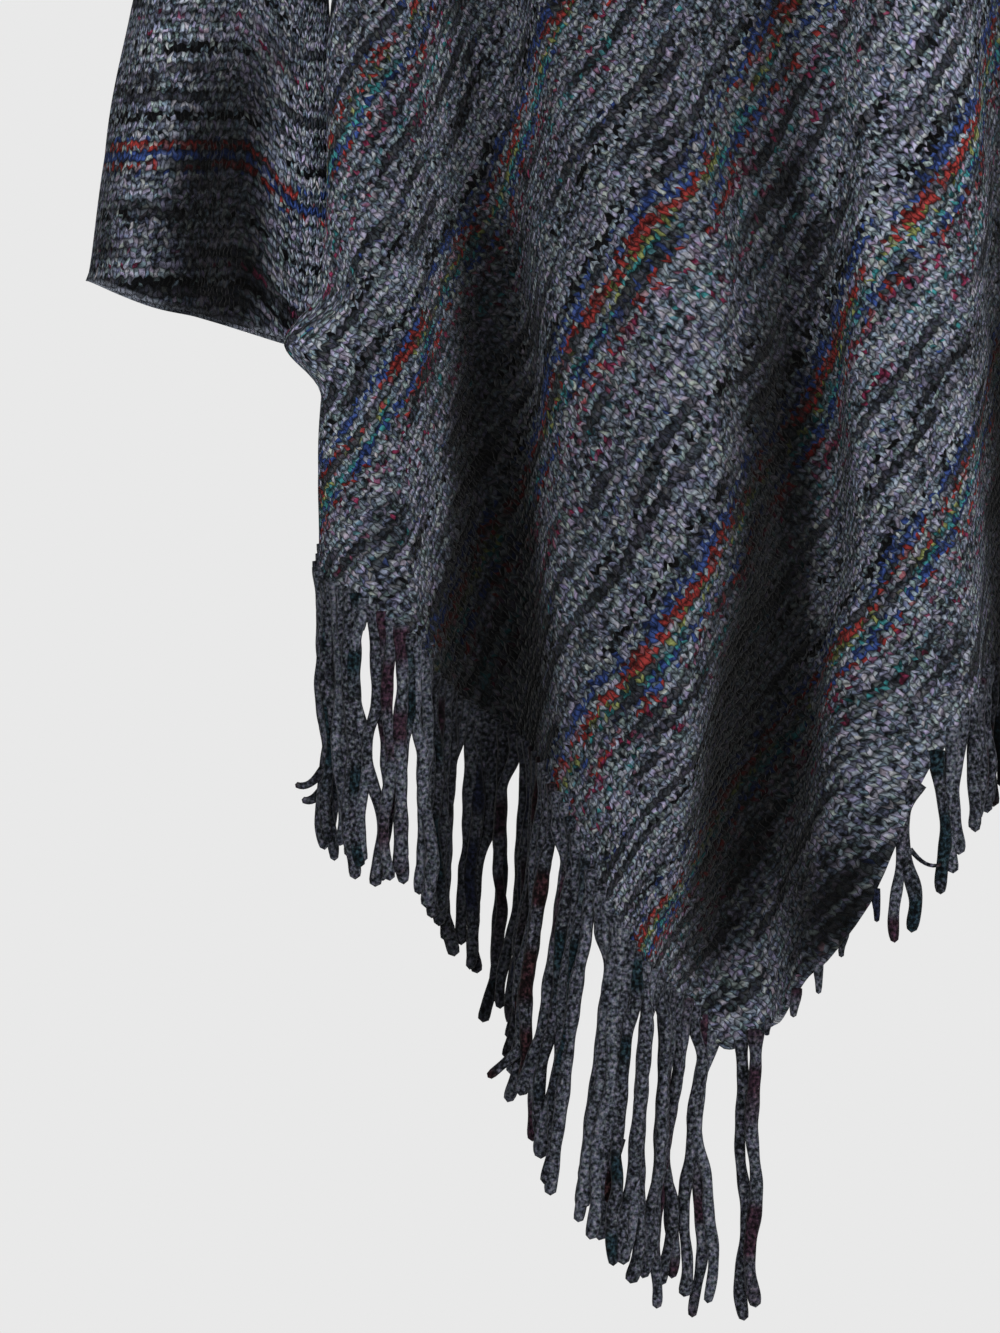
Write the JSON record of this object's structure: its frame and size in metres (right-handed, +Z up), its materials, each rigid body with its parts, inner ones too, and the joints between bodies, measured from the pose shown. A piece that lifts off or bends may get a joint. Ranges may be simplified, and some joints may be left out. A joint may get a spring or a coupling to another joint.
{
  "type": "poncho sweater",
  "caption": "Worn, hollow poncho-style knitted sweater with deep hanging folds, loose sleeves, a pointed hem and a fringe of yarn strands",
  "frame": {"origin": "between the shoulders in the garment's middle plane, at the level of the neck, where the wearer holds it up", "axes": "+Z up, -Y the front of the garment, +X towards the wearer's left"},
  "size_m": [0.589, 0.278, 0.9184],
  "materials": {
    "striped_knit": "coarse marled knit in greys and black with soft diagonal stripes of red, blue, teal and olive, matt and slightly fuzzy",
    "sleeve_knit": "the same marled knit with its courses and stripes round the arm",
    "rib_knit": "plain dark marled rib",
    "fringe_yarn": "soft twisted yarn strands in marled grey and black"
  },
  "bodies": {
    "root": {"front_panel": "striped_knit", "back_panel": "striped_knit", "sleeve_right": "sleeve_knit", "sleeve_left": "sleeve_knit", "neckband": "rib_knit", "fringe_front_right": "fringe_yarn", "fringe_front_left": "fringe_yarn", "fringe_back_right": "fringe_yarn", "fringe_back_left": "fringe_yarn"}
  },
  "joints": []
}
